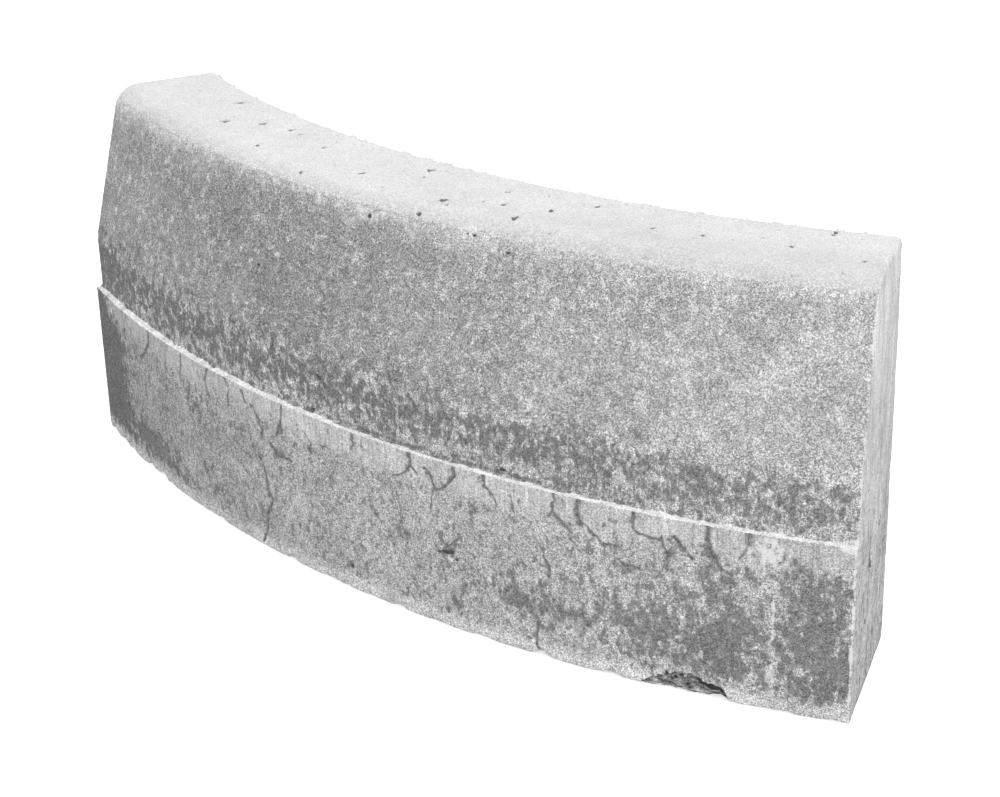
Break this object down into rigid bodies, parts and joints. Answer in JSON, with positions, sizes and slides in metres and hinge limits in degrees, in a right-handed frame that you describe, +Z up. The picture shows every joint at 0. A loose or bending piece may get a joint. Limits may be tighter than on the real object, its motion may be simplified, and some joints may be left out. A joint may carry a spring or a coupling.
{
  "type": "curved concrete kerb stone",
  "caption": "Curved precast concrete kerb stone with an upright foot, a narrow ledge, a battered face and a bullnosed top, for turning a kerb line round a tight corner.",
  "frame": {"origin": "on the bed face, at the middle of the stone's plan rectangle", "axes": "+X along the chord from the left end to the right as seen from the road, -Y towards the road, +Z up from the bed face"},
  "size_m": [0.7594, 0.1856, 0.3],
  "materials": {
    "concrete": "matte"
  },
  "bodies": {
    "root": {"kerb_stone": "concrete"}
  },
  "joints": []
}
